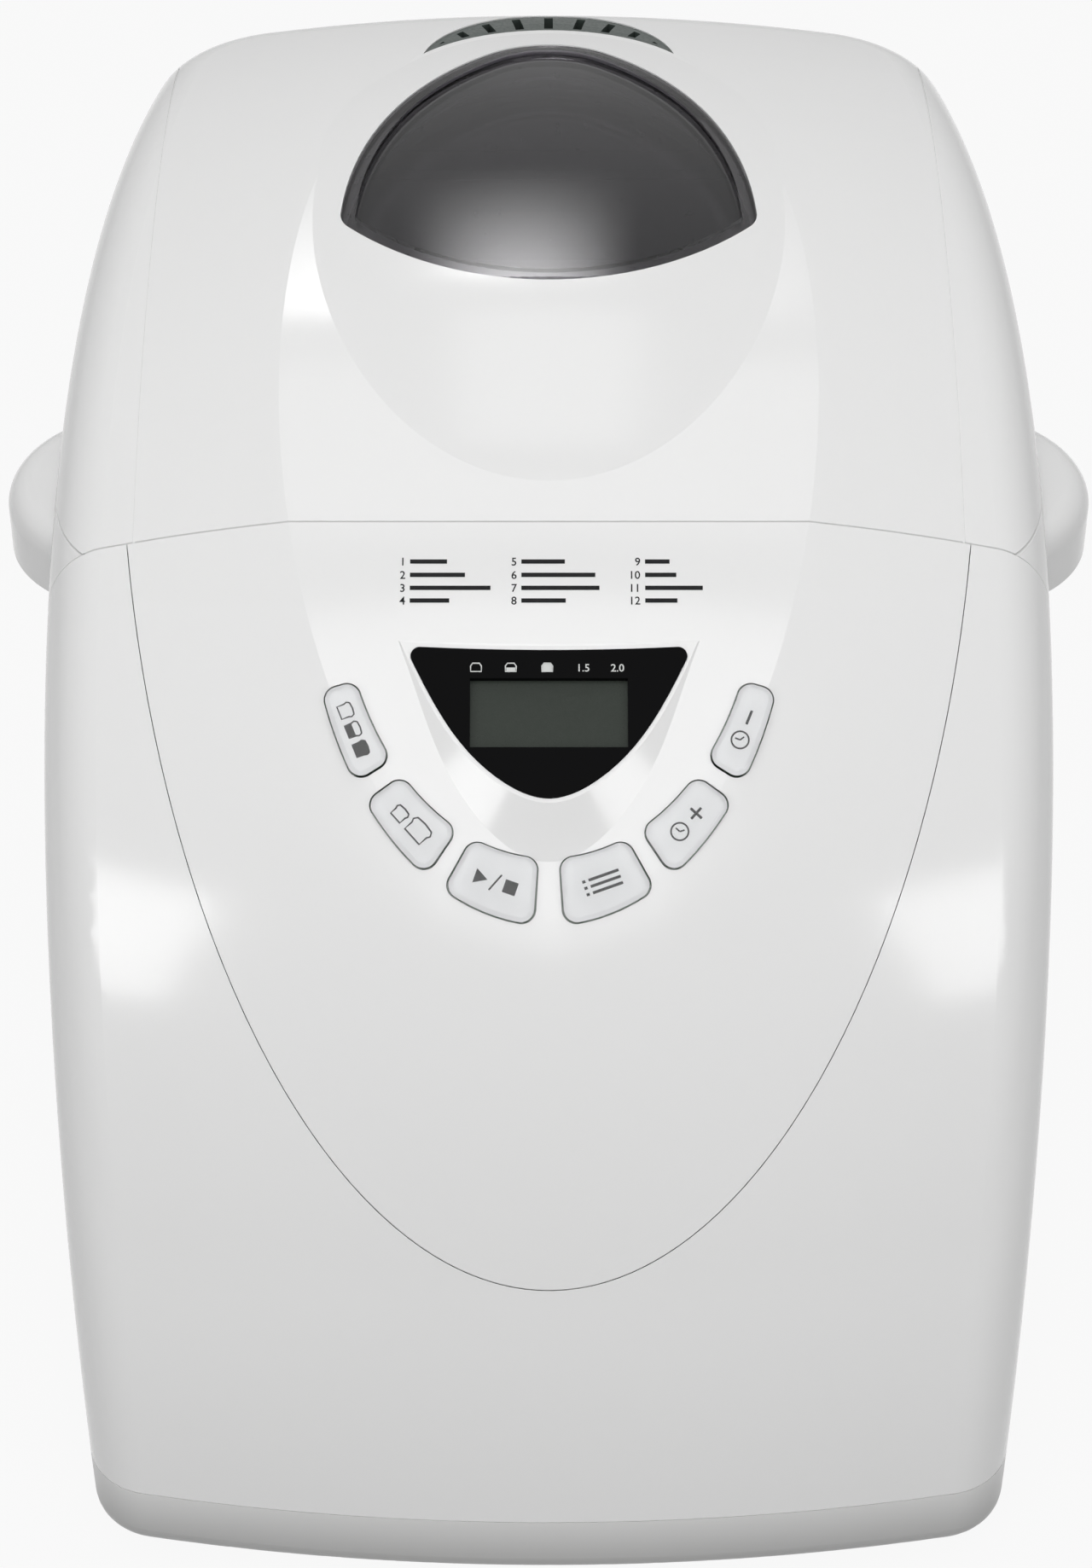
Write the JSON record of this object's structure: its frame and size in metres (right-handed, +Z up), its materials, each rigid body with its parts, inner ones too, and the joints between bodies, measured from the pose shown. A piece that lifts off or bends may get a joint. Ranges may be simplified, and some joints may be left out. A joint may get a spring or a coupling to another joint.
{
  "type": "bread machine",
  "caption": "Table-top bread machine with a crowned moulded housing, hinged window lid, curved key panel, lift-out pan and belt-driven kneading paddle.",
  "frame": {"origin": "middle of the footprint, on the table under the feet", "axes": "+Z up, -Y towards the front with the keys, +X to the right seen from the front"},
  "size_m": [0.2808, 0.3562, 0.2737],
  "materials": {
    "white_shell": "gloss moulded",
    "base_shell": "gloss moulded",
    "clear_key": "clear gloss",
    "black_gloss": "gloss",
    "display": "satin",
    "smoke_glass": "clear smoke",
    "clear_glass": "clear",
    "dark_plastic": "satin",
    "liner_metal": "satin sheet",
    "steel": "bright",
    "heater_sheath": "oxidised",
    "nonstick": "non-stick coating",
    "cast_aluminium": "cast",
    "bronze": "sintered",
    "black_rubber": "matt",
    "ceramic": "glazed ceramic",
    "board": "laminate",
    "board_fittings": "moulded",
    "drive_plastic": "moulded nylon"
  },
  "bodies": {
    "housing": {"baking_chamber": "liner_metal", "base_tray": "base_shell", "bearing_housing": "cast_aluminium", "board_screws": "steel", "board_spacers": "board_fittings", "chamber_standoffs": "steel", "chassis_plate": "steel", "chassis_screws": "steel", "control_board": "board", "control_fascia": "white_shell", "cord_inlet": "dark_plastic", "deck_collar": "dark_plastic", "drive_belt": "black_rubber", "element_brackets": "steel", "element_bushes": "ceramic", "front_housing": "white_shell", "heating_element": "heater_sheath", "hinge_pins": "steel", "lcd_bezel": "black_gloss", "lcd_module": "display", "left_handle": "white_shell", "motor_capacitor": "board_fittings", "motor_end_brackets": "steel", "motor_grommets": "black_rubber", "motor_stator": "steel", "pan_socket": "steel", "power_board": "board", "power_components": "board_fittings", "rear_housing": "white_shell", "right_handle": "white_shell", "rubber_feet": "black_rubber", "shaft_bushes": "bronze", "tact_switches": "board_fittings", "temperature_sensor": "steel"},
    "lid": {"lid_shell": "white_shell", "lid_liner": "liner_metal", "window_lens": "smoke_glass", "window_pane": "clear_glass", "vent_grille": "dark_plastic"},
    "pan": {"bread_pan": "nonstick", "pan_foot_ring": "cast_aluminium", "pan_bearing": "cast_aluminium", "shaft_seal": "black_rubber"},
    "bail": {"pan_handle": "steel"},
    "paddle": {"pan_shaft": "steel", "wing_coupling": "cast_aluminium", "kneading_paddle": "nonstick"},
    "drive": {"drive_shaft": "steel", "drive_coupler": "cast_aluminium", "large_pulley": "drive_plastic"},
    "rotor": {"motor_rotor": "steel", "motor_pulley": "drive_plastic", "motor_fan": "drive_plastic"},
    "key_crust": {"key_crust": "clear_key"},
    "key_loaf_size": {"key_loaf_size": "clear_key"},
    "key_start_stop": {"key_start_stop": "clear_key"},
    "key_menu": {"key_menu": "clear_key"},
    "key_time_up": {"key_time_up": "clear_key"},
    "key_time_down": {"key_time_down": "clear_key"}
  },
  "joints": [
    {"name": "lid_hinge", "type": "hinge", "parent": "housing", "child": "lid", "pos_m": [0, 0.1733, 0.231], "axis": [-1, 0, 0], "range_deg": [0, 80]},
    {"name": "pan_twist", "type": "hinge", "parent": "housing", "child": "pan", "pos_m": [0, 0.063, 0.1], "axis": [0, 0, 1], "range_deg": [0, 12]},
    {"name": "bail_swing", "type": "hinge", "parent": "pan", "child": "bail", "pos_m": [0, 0.063, 0.197], "axis": [-1, 0, 0], "range_deg": [0, 152]},
    {"name": "motor_spin", "type": "hinge", "parent": "housing", "child": "rotor", "pos_m": [0, -0.083, 0.06], "axis": [0, 0, 1], "continuous": true},
    {"name": "drive_spin", "type": "hinge", "parent": "housing", "child": "drive", "pos_m": [0, 0.063, 0.04], "axis": [0, 0, 1], "continuous": true},
    {"name": "paddle_spin", "type": "hinge", "parent": "pan", "child": "paddle", "pos_m": [0, 0.063, 0.09], "axis": [0, 0, 1], "continuous": true},
    {"name": "key_crust_press", "type": "slide", "parent": "housing", "child": "key_crust", "axis": [0, 0.7071, -0.7071], "range_m": [0, 0.0012], "stiffness_N_per_m": 800},
    {"name": "key_loaf_size_press", "type": "slide", "parent": "housing", "child": "key_loaf_size", "axis": [0, 0.7071, -0.7071], "range_m": [0, 0.0012], "stiffness_N_per_m": 800},
    {"name": "key_start_stop_press", "type": "slide", "parent": "housing", "child": "key_start_stop", "axis": [0, 0.7071, -0.7071], "range_m": [0, 0.0012], "stiffness_N_per_m": 800},
    {"name": "key_menu_press", "type": "slide", "parent": "housing", "child": "key_menu", "axis": [0, 0.7071, -0.7071], "range_m": [0, 0.0012], "stiffness_N_per_m": 800},
    {"name": "key_time_up_press", "type": "slide", "parent": "housing", "child": "key_time_up", "axis": [0, 0.7071, -0.7071], "range_m": [0, 0.0012], "stiffness_N_per_m": 800},
    {"name": "key_time_down_press", "type": "slide", "parent": "housing", "child": "key_time_down", "axis": [0, 0.7071, -0.7071], "range_m": [0, 0.0012], "stiffness_N_per_m": 800}
  ],
  "couplings": [
    {"joint": "drive_spin", "follows": "motor_spin", "ratio": 0.19565},
    {"joint": "paddle_spin", "follows": "motor_spin", "ratio": 0.19565}
  ]
}
